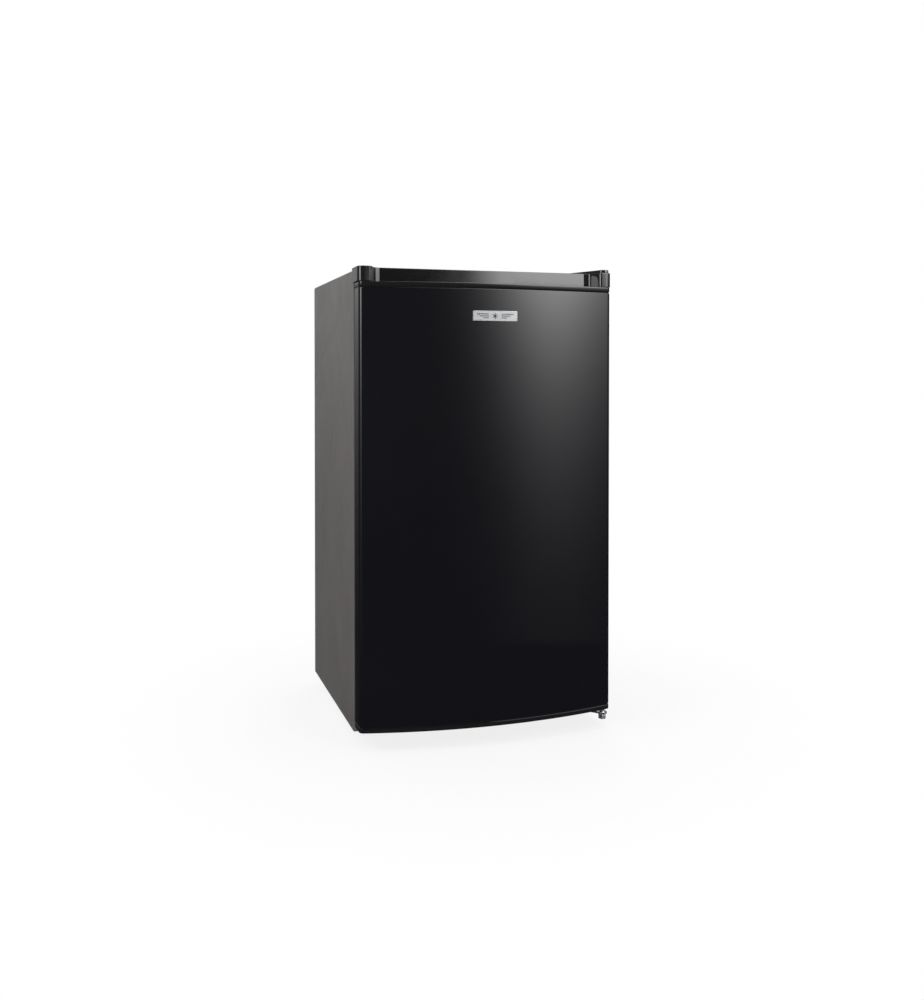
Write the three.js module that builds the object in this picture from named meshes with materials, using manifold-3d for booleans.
// A mini fridge: a foamed steel cabinet, a bowed door hung on two pins at its right edge, a chiller
// compartment, shelves, a crisper, and the cooling circuit behind.
//
// Millimetres, +Z up. The model is drawn with x = 0 at the middle, z = 0 on the floor and y = 0 at the
// cabinet's front face, +y towards the back. The root group then moves the origin to the middle of the base.

import * as THREE from 'three';
import { mergeVertices } from 'three/addons/utils/BufferGeometryUtils.js';
import Module from 'manifold-3d';

const wasm = await Module();
wasm.setup();

// ---------------------------------------------------------------- driving sizes

const WIDTH = 480;               // over the two corner caps
const DEPTH = 500;               // badge to condenser
const HEIGHT = 851;              // floor to the top of the hinge cover

const GAP = 0.3;                 // between pieces that touch
const SLIDE = 1;                 // between pieces that slide or lift past each other
const SHEET = 1.2;               // painted and galvanised steel sheet
const PLASTIC = 2;               // thermoformed and moulded walls

const FOOT_HEIGHT = 22;
const HINGE_COVER_RISE = 6;      // hinge cover above the top trim
const TRIM_RISE = 3;             // top trim above the cabinet's top
const TRIM_HEIGHT = 25;
const CAP_PROUD = 2;             // corner caps beyond the side walls
const REAR_REACH = 17;           // condenser behind the cabinet
const SHELL_FLANGE = 14;         // shell's folded front edge
const BACK_FLANGE = 10;          // shell's folded rear edge

const SIDE_WALL = 38;            // foamed wall thicknesses, liner's inner face to the outside
const TOP_WALL = 54;
const FLOOR_WALL = 44;
const BACK_WALL = 43;
const LINER_CORNER = 12;

const BAY_DEPTH = 155;           // compressor bay at the bottom of the back
const BAY_HEIGHT = 183;
const BAY_WALL = 34;             // foam in front of the bay
const BAY_ROOF = 40;             // foam above the bay

const DOOR_GAP = 10;             // cabinet front to door, filled by the gasket
const DOOR_EDGE = 40;            // door thickness at its sides
const DOOR_BOW = 28;             // how far the middle stands ahead of the sides
const DOOR_CORNER = 10;          // radius of the door's two front edges
const DOOR_LIFT = 11.5;          // door bottom above the cabinet bottom
const DOOR_TOP_GAP = 2;          // door top below the trim
const DOOR_CAP = 10;             // height of the door's end caps
const DOOR_FLANGE = 15;          // door skin's folded rear edges
const BOW_STEPS = 12;

const HINGE_INSET = 10;          // hinge axis from the door's side
const HINGE_SETBACK = 36;        // hinge axis ahead of the cabinet front
const PIN_RADIUS = 4;
const PIN_CLEARANCE = 0.35;
const BUSH_RADIUS = 6.8;
const BUSH_LENGTH = 25;
const BRACKET = 3;               // thickness of the hinge plates

const BADGE_WIDTH = 83;
const BADGE_HEIGHT = 18;
const BADGE_PROUD = 2;
const BADGE_BELOW_TOP = 58;      // badge centre below the door's top

const FITTINGS_BACK = 82;        // shelves, chiller and crisper start this far behind the front
const BIN_REACH = 60;            // door bins end this far behind the front
const DYKE_REACH = 40;
const DYKE_WIDTH = 22;
const DYKE_INSET = 13;           // dykes from the compartment's side walls
const BIN_HEIGHT = 60;
const BOTTLE_BIN_HEIGHT = 80;
const BIN_LIFT = 22;

const CHILLER_HEIGHT = 135;
const CHILLER_TOP_GAP = 13;
const CHILLER_SIDE_GAP = 10;
const CHILLER_BACK_GAP = 10;
const FRAME_BORDER = 11;         // bezel around the chiller's opening
const TRAY_DEPTH = 24;
const GLASS = 4;
const SHELF_SIDE_GAP = 4;
const LEDGE = { width: 7, height: 6 };
const FITTINGS_BORDER = 14;      // shelf trims, front to back
const TUB_WALL = 2.5;            // bins, crisper and top trim
const RUNNER_GAP = 4.5;          // drip tray below the evaporator box

const FOOT_INSET = 38;           // feet from the cabinet's sides
const FRONT_FOOT_BACK = 72;
const REAR_FOOT_AHEAD = 25;
const SCREW = { head: 4, headHeight: 2.5, shank: 2, length: 12, hole: 2.4 };

// ---------------------------------------------------------------- places worked out from them

const frontReach = DOOR_GAP + DOOR_EDGE + DOOR_BOW + BADGE_PROUD;
const shellDepth = DEPTH - frontReach - REAR_REACH;
const shellHalf = WIDTH / 2 - CAP_PROUD;
const shellBottom = FOOT_HEIGHT;
const trimTop = HEIGHT - HINGE_COVER_RISE;
const trimBottom = trimTop - TRIM_HEIGHT;
const shellTop = trimTop - TRIM_RISE;

const inHalf = shellHalf - SIDE_WALL;
const inBottom = shellBottom + FLOOR_WALL;
const inTop = shellTop - TOP_WALL;
const inBack = shellDepth - BACK_WALL;

const bayFront = shellDepth - BAY_DEPTH;
const bayTop = shellBottom + BAY_HEIGHT;
const humpFront = bayFront - BAY_WALL;
const humpTop = bayTop + BAY_ROOF;

const doorBottom = shellBottom + DOOR_LIFT;
const doorTop = trimBottom - DOOR_TOP_GAP;
const doorBack = -DOOR_GAP;
const doorEdgeFront = doorBack - DOOR_EDGE;
const hingeX = shellHalf - HINGE_INSET;
const hingeY = -HINGE_SETBACK;

const backPanelBack = shellDepth - SHEET - GAP;
const backPanelFront = backPanelBack - SHEET;
const foamBack = backPanelFront - GAP;

const chillerHalf = inHalf - CHILLER_SIDE_GAP;
const chillerTop = inTop - CHILLER_TOP_GAP;
const chillerBottom = chillerTop - CHILLER_HEIGHT;
const trayTop = chillerBottom - RUNNER_GAP;
const trayBottom = trayTop - TRAY_DEPTH;
const coverBottom = humpTop + PLASTIC;
const coverTop = coverBottom + GLASS;
const shelfRise = (trayBottom - coverTop) / 3;
const lowerShelfZ = coverTop + shelfRise;
const upperShelfZ = coverTop + 2 * shelfRise;

const dykeOuter = inHalf - DYKE_INSET;
const dykeInner = dykeOuter - DYKE_WIDTH;
const dykeBottom = inBottom + 14;
const dykeTop = trayBottom - 12;
const bottleBinZ = dykeBottom + 8;
const upperBinZ = dykeTop - BIN_HEIGHT - BIN_LIFT - 4;
const middleBinZ = (bottleBinZ + upperBinZ) / 2;

// ---------------------------------------------------------------- finishes

function finish(colour, roughness, metalness = 0) {
  return new THREE.MeshStandardMaterial({ color: colour, roughness, metalness });
}

const finishes = {
  shellPaint: finish(0x5f5d5b, 0.45),
  doorGloss: finish(0x141416, 0.08),
  blackPlastic: finish(0x1b1b1d, 0.35),
  whitePlastic: finish(0xe9e9e4, 0.4),
  clearPlastic: finish(0xd5dde0, 0.15),
  foam: finish(0xd8c58c, 0.95),
  gasket: finish(0x2a2a2b, 0.8),
  rubber: finish(0x1a1a1a, 0.9),
  zinc: finish(0xb9bbbd, 0.35, 1),
  galvanised: finish(0x9ea1a3, 0.5, 1),
  aluminium: finish(0xc9cbcd, 0.4, 1),
  copper: finish(0xb87350, 0.35, 1),
  enamel: finish(0x0e0e0f, 0.3),
  glass: finish(0xcfe3df, 0.05),
  badge: finish(0xd0d1d2, 0.25, 1),
};

// ---------------------------------------------------------------- making solids

function solid(geometry) {
  const bare = geometry.clone();
  bare.deleteAttribute('normal');
  bare.deleteAttribute('uv');
  const merged = mergeVertices(bare);
  const corners = merged.index.array;
  const triangles = [];
  for (let first = 0; first < corners.length; first += 3) {
    const [a, b, c] = corners.slice(first, first + 3);
    if (a !== b && b !== c && c !== a) {
      triangles.push(a, b, c);
    }
  }
  return new wasm.Manifold(new wasm.Mesh({
    numProp: 3,
    vertProperties: merged.attributes.position.array,
    triVerts: new Uint32Array(triangles),
  }));
}

function part(name, body, material) {
  const cut = body.getMesh();
  const geometry = new THREE.BufferGeometry();
  geometry.setAttribute('position', new THREE.BufferAttribute(new Float32Array(cut.vertProperties), 3));
  geometry.setIndex(new THREE.BufferAttribute(new Uint32Array(cut.triVerts), 1));
  geometry.computeVertexNormals();
  const mesh = new THREE.Mesh(geometry, material);
  mesh.name = name;
  return mesh;
}

function placed(mesh, x, y, z) {
  mesh.position.set(x, y, z);
  return mesh;
}

// A box between two values on each axis
function block([x0, x1], [y0, y1], [z0, z1]) {
  const geometry = new THREE.BoxGeometry(x1 - x0, y1 - y0, z1 - z0);
  geometry.translate((x0 + x1) / 2, (y0 + y1) / 2, (z0 + z1) / 2);
  return solid(geometry);
}

// A pair of boxes, one each side of the middle
function blockPair([x0, x1], y, z) {
  return block([x0, x1], y, z).add(block([-x1, -x0], y, z));
}

// A box open at the top, with an even wall
function openTub([x0, x1], [y0, y1], [z0, z1], wall) {
  const hollow = block([x0 + wall, x1 - wall], [y0 + wall, y1 - wall], [z0 + wall, z1 + 1]);
  return block([x0, x1], [y0, y1], [z0, z1]).subtract(hollow);
}

// A round bar from one point to another
function rod(radius, start, end, sides = 16) {
  const from = new THREE.Vector3(...start);
  const along = new THREE.Vector3(...end).sub(from);
  const geometry = new THREE.CylinderGeometry(radius, radius, along.length(), sides);
  const upright = new THREE.Vector3(0, 1, 0);
  const turn = new THREE.Quaternion().setFromUnitVectors(upright, along.clone().normalize());
  geometry.applyQuaternion(turn);
  geometry.translate(...from.addScaledVector(along, 0.5));
  return solid(geometry);
}

function post(radius, [x, y], [z0, z1], sides = 16) {
  return rod(radius, [x, y, z0], [x, y, z1], sides);
}

// The outline's points, without the doubles that arcs leave where they join their neighbours
function outlinePoints(shape, curveSegments) {
  const points = shape.getPoints(curveSegments);
  return points.filter((point, index) => point.distanceTo(points.at(index - 1)) > 0.01);
}

function extruded(shape, depth, curveSegments) {
  const clean = new THREE.Shape(outlinePoints(shape, curveSegments));
  return new THREE.ExtrudeGeometry(clean, { depth, bevelEnabled: false });
}

// A plan outline raised from one height to another
function slab(shape, [z0, z1], curveSegments = 3) {
  const geometry = extruded(shape, z1 - z0, curveSegments);
  geometry.translate(0, 0, z0);
  return solid(geometry);
}

// A front-view outline drawn out along the depth
function drawnBack(shape, [y0, y1], curveSegments = 2) {
  const geometry = extruded(shape, y1 - y0, curveSegments);
  geometry.rotateX(Math.PI / 2);
  geometry.translate(0, y1, 0);
  return solid(geometry);
}

// A profile of [radius, height] points turned about a vertical axis
function turned(profile, sides = 20) {
  const geometry = new THREE.LatheGeometry(profile.map(([r, z]) => new THREE.Vector2(r, z)), sides);
  geometry.rotateX(Math.PI / 2);
  return solid(geometry);
}

function roundedRect([x0, x1], [y0, y1], radius) {
  const shape = new THREE.Shape();
  shape.moveTo(x0 + radius, y0);
  shape.absarc(x1 - radius, y0 + radius, radius, -Math.PI / 2, 0);
  shape.absarc(x1 - radius, y1 - radius, radius, 0, Math.PI / 2);
  shape.absarc(x0 + radius, y1 - radius, radius, Math.PI / 2, Math.PI);
  shape.absarc(x0 + radius, y0 + radius, radius, Math.PI, Math.PI * 1.5);
  return shape;
}

function arcPoints([x, y], radius, from, to, steps) {
  return Array.from({ length: steps + 1 }, (_, step) => {
    const angle = from + (to - from) * step / steps;
    return new THREE.Vector2(x + radius * Math.cos(angle), y + radius * Math.sin(angle));
  });
}

// A path that ExtrudeGeometry samples at its own points, so straight stretches stay one step long
class Route extends THREE.Curve {
  constructor(points) {
    super();
    this.points = points;
  }

  getPointAt(share, target = new THREE.Vector3()) {
    return target.copy(this.points[Math.round(share * (this.points.length - 1))]);
  }

  getTangentAt(share, target = new THREE.Vector3()) {
    const last = this.points.length - 1;
    const index = Math.round(share * last);
    const before = this.points[Math.max(index - 1, 0)];
    const after = this.points[Math.min(index + 1, last)];
    const arriving = new THREE.Vector3().subVectors(this.points[index], before).normalize();
    const leaving = new THREE.Vector3().subVectors(after, this.points[index]).normalize();
    return target.addVectors(arriving, leaving).normalize();
  }
}

// A bar of round section along corner points, each corner rounded off
function bentTube(corners, radius, bend, sides = 8) {
  const stops = corners.map((corner) => new THREE.Vector3(...corner));
  const points = [stops[0]];
  for (let index = 1; index < stops.length - 1; index += 1) {
    const corner = stops[index];
    const [entry, exit] = [stops[index - 1], stops[index + 1]].map((neighbour) => (
      new THREE.Vector3().subVectors(neighbour, corner).setLength(bend).add(corner)
    ));
    points.push(...new THREE.QuadraticBezierCurve3(entry, corner, exit).getPoints(3));
  }
  points.push(stops.at(-1));
  const section = new THREE.Shape(arcPoints([0, 0], radius, 0, 2 * Math.PI, sides).slice(0, sides));
  const steps = points.length - 1;
  return solid(new THREE.ExtrudeGeometry(section, { steps, extrudePath: new Route(points) }));
}

// ---------------------------------------------------------------- cabinet walls

function compartmentFront(grow) {
  const radius = LINER_CORNER + grow;
  return roundedRect([-inHalf - grow, inHalf + grow], [inBottom - grow, inTop + grow], radius);
}

// The cooled space, grown on every side; its floor steps up over the compressor bay
function compartment(grow) {
  const full = drawnBack(compartmentFront(grow), [-grow, inBack + grow]);
  const hump = block([-WIDTH, WIDTH], [humpFront + grow, DEPTH], [0, humpTop - grow]);
  return full.subtract(hump);
}

const footX = shellHalf - FOOT_INSET;
const footY = FRONT_FOOT_BACK;
const drain = { x: -50, y: inBack - 10, bore: 4, radius: 6 };
const gland = { x: footX - 30, y: shellDepth - 23 };
const lowerScrews = [40, 22].map((inset) => ({ x: shellHalf - inset, z: shellBottom + 8 }));
const upperScrews = [-6, -24].map((offset) => ({ x: hingeX + offset, y: 42 }));

function screwHole({ x, y, z }, vertical) {
  if (vertical) {
    return post(SCREW.hole, [x, y], [shellTop - SCREW.length - 4, trimTop + 1], 8);
  }
  return rod(SCREW.hole, [x, -8, z], [x, SCREW.length + 2, z], 8);
}

function outerShell() {
  const outside = block([-shellHalf, shellHalf], [0, shellDepth], [shellBottom, shellTop]);
  const inner = shellHalf - SHEET;
  const hollow = block([-inner, inner], [SHEET, shellDepth - SHEET], [0, shellTop - SHEET]);
  const frontHalf = shellHalf - SHELL_FLANGE;
  const frontCut = block([-frontHalf, frontHalf], [-1, SHEET + 1], [0, shellTop - SHELL_FLANGE]);
  const backHalf = shellHalf - BACK_FLANGE;
  const backCut = block([-backHalf, backHalf], [shellDepth - 3, shellDepth + 1], [0, shellTop - BACK_FLANGE]);
  let shell = outside.subtract(hollow).subtract(frontCut).subtract(backCut);
  for (const screw of upperScrews) {
    shell = shell.subtract(screwHole(screw, true));
  }
  return part('outer_shell', shell, finishes.shellPaint);
}

function innerLiner() {
  const flangeHalf = shellHalf - SHELL_FLANGE - GAP;
  const flangeZ = [shellBottom + SHELL_FLANGE + GAP, shellTop - SHELL_FLANGE - GAP];
  const flange = block([-flangeHalf, flangeHalf], [0, PLASTIC], flangeZ);
  const frontOnly = block([-WIDTH, WIDTH], [-2 * PLASTIC, 0], [0, HEIGHT]);
  const mouth = drawnBack(compartmentFront(0), [-1, 1]);
  let liner = compartment(PLASTIC).subtract(frontOnly).add(flange);
  liner = liner.subtract(compartment(0)).subtract(mouth);
  const ledgeX = [inHalf - LEDGE.width, inHalf + PLASTIC / 2];
  const ledgeY = [FITTINGS_BACK + 18, inBack - CHILLER_BACK_GAP];
  for (const top of [lowerShelfZ, upperShelfZ]) {
    liner = liner.add(blockPair(ledgeX, ledgeY, [top - GAP - LEDGE.height, top - GAP]));
  }
  const coverLedgeZ = [coverBottom - GAP - LEDGE.height, coverBottom - GAP];
  liner = liner.add(blockPair(ledgeX, [ledgeY[0], humpFront], coverLedgeZ));
  const trayRunner = [chillerHalf - 3, inHalf + PLASTIC / 2];
  const runnerTop = trayTop - PLASTIC - GAP;
  liner = liner.add(blockPair(trayRunner, ledgeY, [runnerTop - LEDGE.height, runnerTop]));
  const drainHole = post(drain.bore, [drain.x, drain.y], [humpTop - 10, humpTop + 10], 12);
  return part('inner_liner', liner.subtract(drainHole), finishes.whitePlastic);
}

function cabinetFoam() {
  const half = shellHalf - SHEET - GAP;
  const z = [shellBottom + SHEET + GAP, shellTop - SHEET - GAP];
  const bulk = block([-half, half], [PLASTIC + GAP, foamBack], z);
  const bay = block([-WIDTH, WIDTH], [bayFront - GAP, DEPTH], [0, bayTop + SHEET + GAP]);
  let foam = bulk.subtract(bay).subtract(compartment(PLASTIC + GAP));
  foam = foam.subtract(post(drain.radius + GAP, [drain.x, drain.y], [bayTop, humpTop], 12));
  for (const side of [-1, 1]) {
    foam = foam.subtract(post(6, [side * footX, footY], [0, shellBottom + 14], 12));
  }
  for (const screw of upperScrews) {
    foam = foam.subtract(screwHole(screw, true));
  }
  for (const screw of lowerScrews) {
    foam = foam.subtract(screwHole(screw, false));
  }
  return part('cabinet_foam', foam, finishes.foam);
}

function backPanel() {
  const half = shellHalf - SHEET - GAP;
  const z = [bayTop + SHEET + GAP, shellTop - SHEET - GAP];
  return part('back_panel', block([-half, half], [backPanelFront, backPanelBack], z), finishes.galvanised);
}

function bayPlate() {
  const half = shellHalf - SHEET - GAP;
  const wall = block([-half, half], [bayFront, bayFront + SHEET], [shellBottom, bayTop + SHEET]);
  const roof = block([-half, half], [bayFront, backPanelFront - GAP], [bayTop, bayTop + SHEET]);
  const drainHole = post(drain.radius + GAP, [drain.x, drain.y], [bayTop - 5, bayTop + 5], 12);
  return part('compressor_bay_plate', wall.add(roof).subtract(drainHole), finishes.galvanised);
}

function bottomPlate() {
  const half = shellHalf - SHEET - GAP;
  const flangeHalf = shellHalf - SHELL_FLANGE - GAP;
  const floor = block([-half, half], [SHEET + GAP, bayFront - GAP], [shellBottom, shellBottom + SHEET]);
  const flangeTop = shellBottom + SHELL_FLANGE;
  const flange = block([-flangeHalf, flangeHalf], [0, SHEET + 1], [shellBottom, flangeTop]);
  const bend = block([-flangeHalf, flangeHalf], [SHEET, SHEET + 2], [shellBottom + SHEET, flangeTop + 1]);
  let plate = floor.add(flange.subtract(bend));
  for (const side of [-1, 1]) {
    plate = plate.subtract(post(PIN_RADIUS + 0.6, [side * footX, footY], [0, HEIGHT], 12));
  }
  for (const screw of lowerScrews) {
    plate = plate.subtract(screwHole(screw, false));
  }
  return part('bottom_plate', plate, finishes.galvanised);
}

function compressorBase() {
  const half = shellHalf - SHEET - GAP;
  const y = [bayFront + SHEET + GAP, backPanelBack];
  const plate = block([-half, half], y, [shellBottom, shellBottom + PLASTIC]);
  const lip = block([-half, half], [y[1] - PLASTIC, y[1]], [shellBottom, shellBottom + 12]);
  const hole = post(7.3, [gland.x, gland.y], [0, HEIGHT], 16);
  return part('compressor_base', plate.add(lip).subtract(hole), finishes.galvanised);
}

function cableGland() {
  const seat = shellBottom + PLASTIC + GAP;
  const sleeve = post(7, [0, 0], [shellBottom - 3, seat + 8]);
  const collar = post(10, [0, 0], [seat, seat + 3]);
  const bore = post(4.5, [0, 0], [0, HEIGHT]);
  return placed(part('cable_gland', sleeve.add(collar).subtract(bore), finishes.rubber), gland.x, gland.y, 0);
}

// ---------------------------------------------------------------- top trim and hinges

const CAP_FRONT = doorEdgeFront;                 // caps stand over the door's edge
const STRIP_FRONT = doorEdgeFront + 27;          // strip is set back for the fingers
const CAP_INNER = 44;                            // caps reach in this far from the side
const CAP_RADIUS = 12;
const TONGUE = 14;                               // trim lies on the cabinet's top this far back
const TRIM_WALL = TUB_WALL;

// Half plan of the right corner cap: round outer corner, then a soft step back to the strip
function capOutline(inset) {
  const outer = WIDTH / 2 - inset;
  const front = CAP_FRONT + inset;
  const inner = WIDTH / 2 - CAP_INNER + inset;
  const radius = CAP_RADIUS - inset;
  const shape = new THREE.Shape();
  shape.moveTo(outer, -GAP - inset);
  shape.lineTo(outer, front + radius);
  shape.absarc(outer - radius, front + radius, radius, 0, -Math.PI / 2, true);
  shape.lineTo(inner + 22, front);
  shape.bezierCurveTo(inner + 12, front, inner + 12, STRIP_FRONT + inset, inner + 2, STRIP_FRONT + inset);
  shape.lineTo(inner, STRIP_FRONT + inset);
  shape.lineTo(inner, -GAP - inset);
  return shape;
}

// Plan of the upper hinge's cover and plate: a round boss on the pin, widening towards the back
const HINGE_PLAN = { boss: 10, back: 56, width: 50, corner: 16 };

function hingePlan(inset) {
  const radius = HINGE_PLAN.boss - inset;
  const back = HINGE_PLAN.back - inset;
  const right = hingeX + radius;
  const left = right - HINGE_PLAN.width + 2 * inset;
  const shape = new THREE.Shape();
  shape.moveTo(right, hingeY);
  shape.lineTo(right, back);
  shape.lineTo(left, back);
  shape.lineTo(left, back - HINGE_PLAN.corner + inset);
  shape.lineTo(hingeX - radius, hingeY);
  shape.absarc(hingeX, hingeY, radius, Math.PI, 2 * Math.PI);
  return shape;
}

function cornerCap(side) {
  const z = [trimBottom, trimTop];
  let cap = slab(capOutline(0), z);
  cap = cap.subtract(slab(capOutline(TRIM_WALL), [trimBottom - 1, trimTop - TRIM_WALL]));
  const tongueX = [WIDTH / 2 - CAP_INNER, WIDTH / 2];
  cap = cap.add(block(tongueX, [-1, TONGUE], [shellTop + GAP, trimTop]));
  if (side < 0) {
    return part('corner_cap_left', cap.mirror([1, 0, 0]), finishes.blackPlastic);
  }
  const window = slab(hingePlan(2.5), [shellTop - 1, trimTop + 1]);
  return part('corner_cap_right', cap.subtract(window), finishes.blackPlastic);
}

function topFrontStrip() {
  const half = WIDTH / 2 - CAP_INNER - GAP;
  const wall = block([-half, half], [STRIP_FRONT, STRIP_FRONT + TRIM_WALL], [trimBottom, trimTop]);
  const lid = block([-half, half], [STRIP_FRONT, TONGUE], [trimTop - TRIM_WALL, trimTop]);
  return part('top_front_strip', wall.add(lid), finishes.blackPlastic);
}

function hingeCover() {
  const low = slab(hingePlan(0), [trimTop + GAP, HEIGHT]);
  const behindTongue = block([0, WIDTH], [TONGUE + GAP, DEPTH], [0, HEIGHT]);
  const skirt = slab(hingePlan(0), [shellTop + GAP, HEIGHT]).intersect(behindTongue);
  const hollow = slab(hingePlan(PLASTIC), [shellTop - 1, HEIGHT - PLASTIC]);
  return part('hinge_cover', low.add(skirt).subtract(hollow), finishes.blackPlastic);
}

function upperHingeBracket() {
  let plate = slab(hingePlan(3), [shellTop + GAP, trimTop]);
  plate = plate.subtract(post(PIN_RADIUS + PIN_CLEARANCE, [hingeX, hingeY], [0, HEIGHT]));
  for (const screw of upperScrews) {
    plate = plate.subtract(screwHole(screw, true));
  }
  return part('upper_hinge_bracket', plate, finishes.zinc);
}

function upperHingePin() {
  const shaft = post(PIN_RADIUS, [0, 0], [doorTop - BUSH_LENGTH + 6, trimTop + 1]);
  const head = post(PIN_RADIUS + 2, [0, 0], [trimTop + GAP, trimTop + 2]);
  return placed(part('upper_hinge_pin', shaft.add(head), finishes.zinc), hingeX, hingeY, 0);
}

function upperHingeScrew(index) {
  const shank = post(SCREW.shank, [0, 0], [trimTop - SCREW.length, trimTop + 1], 8);
  const head = post(SCREW.head, [0, 0], [trimTop + GAP, trimTop + GAP + SCREW.headHeight], 12);
  const screw = part(`upper_hinge_screw_${index + 1}`, shank.add(head), finishes.zinc);
  return placed(screw, upperScrews[index].x, upperScrews[index].y, 0);
}

const armZ = [shellBottom + GAP, shellBottom + GAP + BRACKET];

function lowerHingeBracket() {
  const right = hingeX + HINGE_INSET - 1;
  const left = shellHalf - 48;
  const plate = block([left, right], [-GAP - BRACKET, -GAP], [armZ[0], shellBottom + SHELL_FLANGE]);
  const outline = new THREE.Shape();
  outline.moveTo(right, -GAP);
  outline.lineTo(right, hingeY);
  outline.absarc(hingeX, hingeY, right - hingeX, 0, -Math.PI, true);
  outline.lineTo(left, -GAP);
  let bracket = plate.add(slab(outline, armZ));
  bracket = bracket.subtract(post(PIN_RADIUS + PIN_CLEARANCE, [hingeX, hingeY], [0, 60]));
  for (const screw of lowerScrews) {
    bracket = bracket.subtract(screwHole(screw, false));
  }
  return part('lower_hinge_bracket', bracket, finishes.zinc);
}

function lowerHingePin() {
  const shaft = post(PIN_RADIUS, [0, 0], [armZ[0] - 1, doorBottom + BUSH_LENGTH - 4]);
  const nut = post(7.5, [0, 0], [armZ[0] - GAP - 9, armZ[0] - GAP], 6);
  return placed(part('lower_hinge_pin', shaft.add(nut), finishes.zinc), hingeX, hingeY, 0);
}

function lowerHingeScrew(index) {
  const face = -2 * GAP - BRACKET;
  const shank = rod(SCREW.shank, [0, face - 1, 0], [0, SCREW.length + face, 0], 8);
  const head = rod(SCREW.head, [0, face - SCREW.headHeight, 0], [0, face, 0], 12);
  const screw = part(`lower_hinge_screw_${index + 1}`, shank.add(head), finishes.zinc);
  return placed(screw, lowerScrews[index].x, 0, lowerScrews[index].z);
}

// ---------------------------------------------------------------- feet

function levellingFoot(name, side) {
  const foot = turned([
    [0, 0], [15, 0], [17, 2], [17, 9], [14, 11], [9, 11], [9, 17],
    [PIN_RADIUS, 17], [PIN_RADIUS, shellBottom + 11], [0, shellBottom + 11],
  ]);
  return placed(part(name, foot, finishes.blackPlastic), side * footX, footY, 0);
}

function rearFoot(name, side) {
  const top = FOOT_HEIGHT - GAP;
  const foot = turned([[0, 0], [13, 0], [15, 2], [15, 12], [18, 14], [18, top], [0, top]]);
  return placed(part(name, foot, finishes.blackPlastic), side * footX, shellDepth - REAR_FOOT_AHEAD, 0);
}

// ---------------------------------------------------------------- cooling circuit

const compressorAt = { x: -50, y: bayFront + 79, z: shellBottom + PLASTIC + 10 };
const compressorFeet = [[-62, -46], [62, -46], [-62, 46], [62, 46]];
const BODY = { half: 68, squash: 0.85, height: 145 };

function compressorBody(grow) {
  const r = BODY.half + grow;
  const profile = turned([
    [0, 3 - grow], [r - 22, 3 - grow], [r - 6, 14], [r, 32], [r, 92], [r - 4, 100], [r - 4, 106],
    [r - 14, 126], [r - 34, 140], [0, BODY.height + grow],
  ], 28);
  return profile.scale([1, BODY.squash, 1]);
}

function compressor() {
  const plate = slab(roundedRect([-76, 76], [-58, 58], 12), [GAP, 3.5]);
  const body = part('compressor', compressorBody(0).add(plate), finishes.enamel);
  return placed(body, compressorAt.x, compressorAt.y, compressorAt.z);
}

function grommet(index) {
  const [dx, dy] = compressorFeet[index];
  const bottom = shellBottom + PLASTIC + GAP;
  const height = compressorAt.z - bottom;
  const waist = [[9, 3], [7, 4], [7, height - 3], [9, height - 2]];
  const pad = turned([[0, 0], [9, 0], ...waist, [9, height], [0, height]], 16);
  const mesh = part(`grommet_${index + 1}`, pad, finishes.rubber);
  return placed(mesh, compressorAt.x + dx, compressorAt.y + dy, bottom);
}

function terminalBox() {
  const box = block([50, 106], [-24, 24], [32, 96]).subtract(compressorBody(GAP));
  const cover = part('terminal_box', box, finishes.blackPlastic);
  return placed(cover, compressorAt.x, compressorAt.y, compressorAt.z);
}

function dripPan() {
  const z = [compressorAt.z + BODY.height + 2, bayTop - 7];
  const x = [compressorAt.x - 70, compressorAt.x + 70];
  const y = [bayFront + 16, shellDepth - 13];
  return part('drip_pan', openTub(x, y, z, PLASTIC), finishes.blackPlastic);
}

function drainTube() {
  const z = [bayTop - 9, humpTop - PLASTIC - GAP];
  const pipe = post(drain.radius, [0, 0], z, 12).subtract(post(drain.bore, [0, 0], [0, HEIGHT], 12));
  return placed(part('drain_tube', pipe, finishes.whitePlastic), drain.x, drain.y, 0);
}

const COIL = { radius: 2.5, pitch: 50, sideGap: 38, strap: 2, strapWidth: 12 };
const coilY = shellDepth + REAR_REACH - COIL.strap - COIL.radius + 0.5;
const coilHalf = shellHalf - COIL.sideGap;
const coilTop = shellTop - 45;
const coilInX = -coilHalf - 20;
const tailX = coilHalf - 4;

function condenserCoil() {
  const passes = 2 * Math.floor((coilTop - bayTop - 60) / COIL.pitch / 2) + 1;
  const corners = [[coilInX, coilY, bayTop + 10], [coilInX, coilY, coilTop]];
  for (let pass = 0; pass < passes; pass += 1) {
    const z = coilTop - pass * COIL.pitch;
    const ends = pass % 2 === 0 ? [-coilHalf, coilHalf] : [coilHalf, -coilHalf];
    if (pass > 0) {
      corners.push([ends[0], coilY, z]);
    }
    corners.push([ends[1], coilY, z]);
  }
  corners.push([coilHalf, coilY, bayTop - 15]);
  corners.push([coilHalf, shellDepth - 12, bayTop - 15]);
  corners.push([coilHalf, shellDepth - 12, bayTop - 38]);
  let coil = bentTube(corners, COIL.radius, 11);
  const bottomPass = coilTop - (passes - 1) * COIL.pitch;
  for (const side of [-1, 1]) {
    const x = [side * 110 - COIL.strapWidth / 2, side * 110 + COIL.strapWidth / 2];
    const back = shellDepth + REAR_REACH;
    const strap = block(x, [back - COIL.strap, back], [bottomPass - 20, shellTop - 2]);
    const topFoot = block(x, [shellDepth + GAP, back], [shellTop - 8, shellTop - 2]);
    const lowFoot = block(x, [backPanelBack + GAP, back], [bottomPass - 20, bottomPass - 14]);
    coil = coil.add(strap).add(topFoot).add(lowFoot);
  }
  return part('condenser_coil', coil, finishes.enamel);
}

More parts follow.
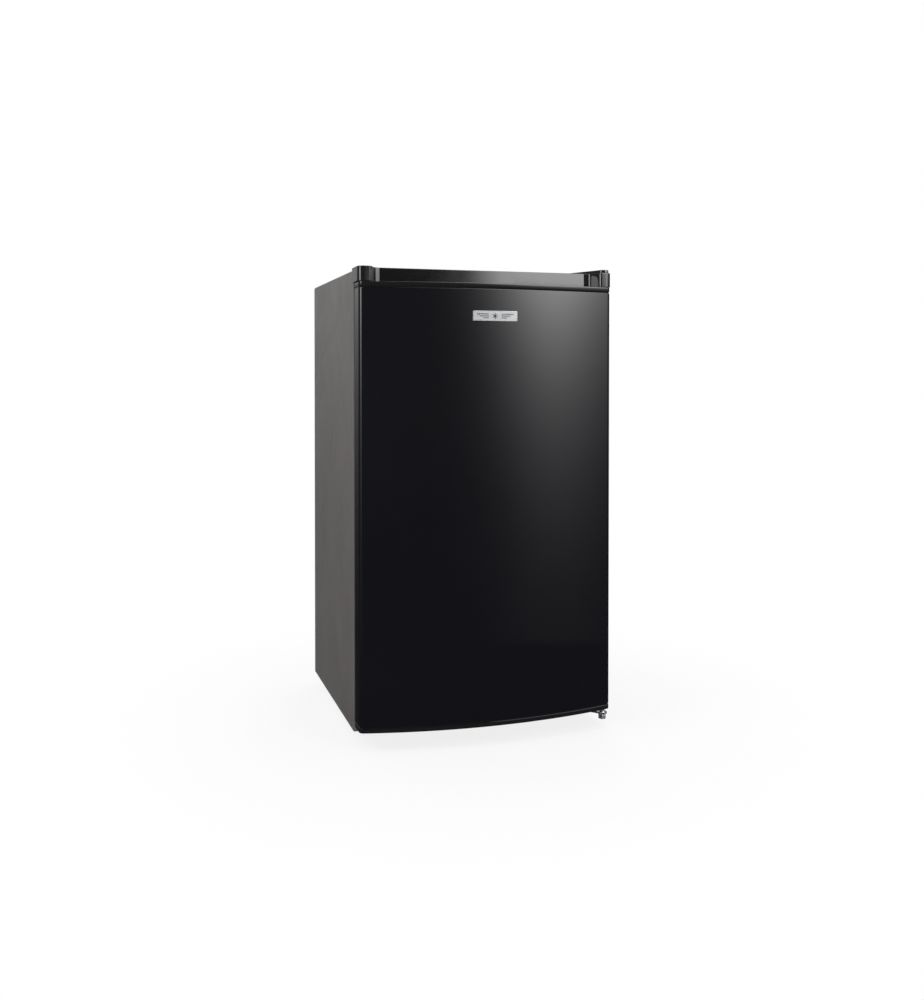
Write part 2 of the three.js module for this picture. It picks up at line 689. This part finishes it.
function filterDrier() {
  const top = bayTop - 38 - GAP;
  const drier = turned([[0, 0], [2.5, 0], [2.5, 10], [9, 18], [9, 72], [3.5, 80], [3.5, 90], [0, 90]], 14);
  return placed(part('filter_drier', drier, finishes.copper), coilHalf, shellDepth - 12, top - 90);
}

function dischargeTube() {
  const z = compressorAt.z + 70;
  const start = compressorAt.x - BODY.half - 1;
  const corners = [
    [start, compressorAt.y, z],
    [coilInX, compressorAt.y, z],
    [coilInX, coilY, z],
    [coilInX, coilY, bayTop + 10 - GAP],
  ];
  return part('discharge_tube', bentTube(corners, 3, 16), finishes.copper);
}

function suctionTube() {
  const z = compressorAt.z + 22;
  const y = compressorAt.y + 18;
  const x = compressorAt.x + BODY.half + 110;
  const corners = [[compressorAt.x + BODY.half - 1, y, z], [x, y, z], [x, y, bayTop - GAP]];
  return part('suction_tube', bentTube(corners, 4, 20), finishes.copper);
}

// ---------------------------------------------------------------- chiller and shelves

const frameFront = FITTINGS_BACK;
const frameBack = frameFront + 4;
const FLAP = { thickness: 4, axisAhead: 3.5, pin: 2.5, topAboveAxis: 2, axisBelowFrame: 12 };
const flapAxis = { y: frameFront - FLAP.axisAhead, z: chillerTop - FLAP.axisBelowFrame };
const flapHalf = chillerHalf - 4.3;

function evaporatorBox() {
  const y = [frameBack + GAP, inBack - CHILLER_BACK_GAP];
  const box = block([-chillerHalf, chillerHalf], y, [chillerBottom, chillerTop]);
  const half = chillerHalf - PLASTIC;
  const hollow = block([-half, half], [0, y[1] - PLASTIC], [chillerBottom + PLASTIC, chillerTop - PLASTIC]);
  return part('evaporator_box', box.subtract(hollow), finishes.aluminium);
}

function freezerFrame() {
  const half = chillerHalf + 3;
  const plate = block([-half, half], [frameFront, frameBack], [chillerBottom - 3, chillerTop + 3]);
  const openHalf = half - FRAME_BORDER;
  const openZ = [chillerBottom - 3 + FRAME_BORDER, chillerTop - 7];
  const opening = block([-openHalf, openHalf], [0, DEPTH], openZ);
  const lugX = [flapHalf + 0.6, half];
  const lugs = blockPair(lugX, [flapAxis.y - 4, frameFront + 1], [flapAxis.z - 6, flapAxis.z + 6]);
  const boreEnds = [-half - 1, half + 1].map((x) => [x, flapAxis.y, flapAxis.z]);
  const bore = rod(FLAP.pin + 0.4, ...boreEnds, 12);
  return part('freezer_frame', plate.subtract(opening).add(lugs).subtract(bore), finishes.whitePlastic);
}

// Drawn about its own hinge axis
function freezerFlap() {
  const half = FLAP.thickness / 2;
  const bottom = chillerBottom + 6 - flapAxis.z;
  const plate = block([-flapHalf, flapHalf], [-half, half], [bottom, FLAP.topAboveAxis]);
  const stub = flapHalf + 5;
  const pin = rod(FLAP.pin, [-stub, 0, 0], [stub, 0, 0], 12);
  const lip = block([-32, 32], [-half - 6, -half + 1], [bottom + 4, bottom + 9]);
  const flap = part('freezer_flap', plate.add(pin).add(lip), finishes.whitePlastic);
  return placed(flap, 0, flapAxis.y, flapAxis.z);
}

function chillerTray() {
  const half = chillerHalf - 5;
  const y = [FITTINGS_BACK + 2, inBack - 15];
  const tub = openTub([-half, half], y, [trayBottom, trayTop], PLASTIC);
  const rims = blockPair([half - 1, half + 6], y, [trayTop - PLASTIC, trayTop]);
  return part('chiller_tray', tub.add(rims), finishes.clearPlastic);
}

const shelfHalf = inHalf - SHELF_SIDE_GAP;
const glassY = [FITTINGS_BACK + 2 + GAP, inBack - 8];

function shelfGlass(name, z) {
  return part(name, block([-shelfHalf, shelfHalf], glassY, [z, z + GLASS]), finishes.glass);
}

function shelfTrim(name, z) {
  const y = [FITTINGS_BACK, FITTINGS_BACK + FITTINGS_BORDER];
  const outer = block([-shelfHalf, shelfHalf], y, [z - 4, z + GLASS + 3]);
  const slot = block([-WIDTH, WIDTH], [FITTINGS_BACK + 2, DEPTH], [z - GAP, z + GLASS + GAP]);
  return part(name, outer.subtract(slot), finishes.whitePlastic);
}

function crisperDrawer() {
  const half = chillerHalf;
  const y = [FITTINGS_BACK, humpFront - PLASTIC];
  const z = [inBottom + 0.5, humpTop - 5];
  const grip = block([-60, 60], [y[0] - 1, y[0] + TUB_WALL + 1], [z[1] - 22, HEIGHT]);
  const tub = openTub([-half, half], y, z, TUB_WALL).subtract(grip);
  return part('crisper_drawer', tub, finishes.clearPlastic);
}

const thermostat = { y: 155, z: (upperShelfZ + GLASS + trayBottom) / 2, reach: 28, half: 30 };
const knobFace = inHalf - thermostat.reach - GAP;

function thermostatHousing() {
  const x = [inHalf - thermostat.reach, inHalf - GAP];
  const y = [thermostat.y - 35, thermostat.y + 35];
  const z = [thermostat.z - thermostat.half, thermostat.z + thermostat.half];
  return part('thermostat_housing', block(x, y, z), finishes.whitePlastic);
}

// Drawn about its own turning axis, which lies along x
function thermostatKnob() {
  const dial = rod(16, [0, 0, 0], [-7, 0, 0], 24);
  const grip = block([-14, -1], [-14, 14], [-3, 3]);
  const knob = part('thermostat_knob', dial.add(grip), finishes.whitePlastic);
  return placed(knob, knobFace, thermostat.y, thermostat.z);
}

// ---------------------------------------------------------------- door

const cornerX = shellHalf - DOOR_CORNER;
const cornerY = doorEdgeFront + DOOR_CORNER;
const apexAhead = DOOR_BOW + DOOR_CORNER;
const bowRadius = (cornerX ** 2 + apexAhead ** 2 - DOOR_CORNER ** 2) / (2 * (apexAhead - DOOR_CORNER));
const bowCentreY = doorEdgeFront - DOOR_BOW + bowRadius;
const bowTilt = Math.atan2(cornerX, bowCentreY - cornerY);

// Plan of the door, drawn in by an inset: square back, round front edges, one long arc between them
function doorOutline(inset) {
  const side = shellHalf - inset;
  const radius = DOOR_CORNER - inset;
  const down = -Math.PI / 2;
  return new THREE.Shape([
    new THREE.Vector2(-side, doorBack - inset),
    new THREE.Vector2(side, doorBack - inset),
    ...arcPoints([cornerX, cornerY], radius, 0, down + bowTilt, 4),
    ...arcPoints([0, bowCentreY], bowRadius - inset, down + bowTilt, down - bowTilt, BOW_STEPS).slice(1, -1),
    ...arcPoints([-cornerX, cornerY], radius, down - bowTilt, 2 * down, 4),
  ]);
}

function doorOuterPanel() {
  const z = [doorBottom + DOOR_CAP + GAP, doorTop - DOOR_CAP - GAP];
  const inside = slab(doorOutline(SHEET), [0, HEIGHT]);
  const slotHalf = shellHalf - DOOR_FLANGE;
  const slot = block([-slotHalf, slotHalf], [doorBack - 3, doorBack + 1], [0, HEIGHT]);
  const skin = slab(doorOutline(0), z).subtract(inside).subtract(slot);
  return part('door_outer_panel', skin, finishes.doorGloss);
}

// Finger pocket in the door's top, behind the front lip
const POCKET = { lip: 14, sideInset: 58, back: 24, depth: 22 };

function fingerPocket(grow) {
  const half = shellHalf - POCKET.sideInset + grow;
  const radius = bowRadius - POCKET.lip + grow;
  const reach = Math.asin(half / radius);
  const down = -Math.PI / 2;
  const front = arcPoints([0, bowCentreY], radius, down - reach, down + reach, 8);
  const back = -POCKET.back + grow;
  const outline = new THREE.Shape([...front, new THREE.Vector2(half, back), new THREE.Vector2(-half, back)]);
  return slab(outline, [doorTop - POCKET.depth - grow, doorTop + 1]);
}

const bushHole = (z) => post(BUSH_RADIUS + GAP, [hingeX, hingeY], z);

function doorTopCap() {
  const aboveDoor = block([-WIDTH, WIDTH], [-DEPTH, DEPTH], [doorTop, HEIGHT]);
  const tub = fingerPocket(PLASTIC).subtract(aboveDoor);
  const lid = slab(doorOutline(0), [doorTop - DOOR_CAP, doorTop]).add(tub);
  const cap = lid.subtract(fingerPocket(0)).subtract(bushHole([doorBottom, HEIGHT]));
  return part('door_top_cap', cap, finishes.blackPlastic);
}

function doorBottomCap() {
  const base = slab(doorOutline(0), [doorBottom, doorBottom + DOOR_CAP]);
  return part('door_bottom_cap', base.subtract(bushHole([0, doorTop])), finishes.blackPlastic);
}

function doorHingeBush(name, bottom) {
  const sleeve = post(BUSH_RADIUS, [0, 0], [0, BUSH_LENGTH]);
  const bore = post(PIN_RADIUS + PIN_CLEARANCE, [0, 0], [-1, BUSH_LENGTH + 1]);
  return placed(part(name, sleeve.subtract(bore), finishes.whitePlastic), hingeX, hingeY, bottom);
}

function dykes(inset) {
  const y = [doorBack - PLASTIC - 1, DYKE_REACH - inset];
  return blockPair([dykeInner + inset, dykeOuter - inset], y, [dykeBottom + inset, dykeTop - inset]);
}

function doorFoam() {
  const z = [doorBottom + DOOR_CAP + GAP, doorTop - DOOR_CAP - GAP];
  const linerBack = doorBack - PLASTIC - GAP;
  const behind = block([-WIDTH, WIDTH], [linerBack, DEPTH], [0, HEIGHT]);
  const core = slab(doorOutline(SHEET + GAP), z).subtract(behind).add(dykes(PLASTIC + GAP));
  const topHole = bushHole([doorTop - BUSH_LENGTH - 2 * GAP, HEIGHT]);
  const bottomHole = bushHole([0, doorBottom + BUSH_LENGTH + 2 * GAP]);
  const foam = core.subtract(fingerPocket(PLASTIC + GAP)).subtract(topHole).subtract(bottomHole);
  return part('door_foam', foam, finishes.foam);
}

function doorInnerLiner() {
  const half = shellHalf - DOOR_FLANGE - GAP;
  const z = [doorBottom + DOOR_CAP + GAP, doorTop - DOOR_CAP - GAP];
  const plate = block([-half, half], [doorBack - PLASTIC, doorBack], z);
  const below = block([-WIDTH, WIDTH], [-DEPTH, doorBack - PLASTIC], [0, HEIGHT]);
  let liner = plate.add(dykes(0).subtract(below)).subtract(dykes(PLASTIC));
  for (const binZ of [bottleBinZ, middleBinZ, upperBinZ]) {
    const restZ = [binZ - GAP - LEDGE.height, binZ - GAP];
    liner = liner.add(blockPair([dykeInner - 8, dykeInner + 1], [doorBack - 1, 20], restZ));
  }
  return part('door_inner_liner', liner, finishes.whitePlastic);
}

function doorBin(name, z, height) {
  const half = dykeInner - SLIDE;
  const y = [doorBack + GAP + 0.2, BIN_REACH];
  const dip = block([-half + 40, half - 40], [y[1] - TUB_WALL - 1, y[1] + 1], [height - 14, height + 1]);
  const tub = openTub([-half, half], y, [0, height], TUB_WALL).subtract(dip);
  return placed(part(name, tub, finishes.clearPlastic), 0, 0, z);
}

function doorGasket() {
  const outerHalf = shellHalf - 12;
  const z = [doorBottom + 7, doorTop - 7];
  const width = 14;
  const y = [doorBack + GAP, -GAP];
  const ring = drawnBack(roundedRect([-outerHalf, outerHalf], z, 8), y);
  const hole = block([-outerHalf + width, outerHalf - width], [-DEPTH, DEPTH], [z[0] + width, z[1] - width]);
  return part('door_gasket', ring.subtract(hole), finishes.gasket);
}

function badge() {
  const middle = doorTop - BADGE_BELOW_TOP;
  const z = [middle - BADGE_HEIGHT / 2, middle + BADGE_HEIGHT / 2];
  const window = block([-BADGE_WIDTH / 2, BADGE_WIDTH / 2], [-DEPTH, doorEdgeFront], [0, HEIGHT]);
  const plate = slab(doorOutline(-BADGE_PROUD), z).subtract(slab(doorOutline(-GAP), [0, HEIGHT]));
  return part('badge', plate.intersect(window), finishes.badge);
}

// ---------------------------------------------------------------- assembly

const door = new THREE.Group();
door.add(
  doorOuterPanel(),
  doorFoam(),
  doorInnerLiner(),
  doorTopCap(),
  doorBottomCap(),
  doorGasket(),
  doorHingeBush('door_hinge_bush_top', doorTop - BUSH_LENGTH),
  doorHingeBush('door_hinge_bush_bottom', doorBottom),
  badge(),
  doorBin('door_bin_bottle', bottleBinZ, BOTTLE_BIN_HEIGHT),
  doorBin('door_bin_middle', middleBinZ, BIN_HEIGHT),
  doorBin('door_bin_upper', upperBinZ, BIN_HEIGHT),
);

const cabinet = new THREE.Group();
cabinet.add(
  outerShell(),
  cabinetFoam(),
  innerLiner(),
  backPanel(),
  bayPlate(),
  bottomPlate(),
  compressorBase(),
  cableGland(),
  topFrontStrip(),
  cornerCap(-1),
  cornerCap(1),
  hingeCover(),
  upperHingeBracket(),
  upperHingePin(),
  lowerHingeBracket(),
  lowerHingePin(),
  levellingFoot('levelling_foot_left', -1),
  levellingFoot('levelling_foot_right', 1),
  rearFoot('rear_foot_left', -1),
  rearFoot('rear_foot_right', 1),
);
for (const index of [0, 1]) {
  cabinet.add(upperHingeScrew(index), lowerHingeScrew(index));
}

const cooling = new THREE.Group();
cooling.add(compressor(), terminalBox(), dripPan(), drainTube(), condenserCoil());
cooling.add(filterDrier(), dischargeTube(), suctionTube(), evaporatorBox());
for (const index of compressorFeet.keys()) {
  cooling.add(grommet(index));
}

const fittings = new THREE.Group();
fittings.add(
  freezerFrame(),
  freezerFlap(),
  chillerTray(),
  shelfGlass('shelf_glass_upper', upperShelfZ),
  shelfTrim('shelf_trim_upper', upperShelfZ),
  shelfGlass('shelf_glass_lower', lowerShelfZ),
  shelfTrim('shelf_trim_lower', lowerShelfZ),
  shelfGlass('crisper_cover', coverBottom),
  crisperDrawer(),
  thermostatHousing(),
  thermostatKnob(),
);

const miniFridge = new THREE.Group();
miniFridge.add(cabinet, cooling, fittings, door);
miniFridge.position.y = frontReach - DEPTH / 2;

export default miniFridge;
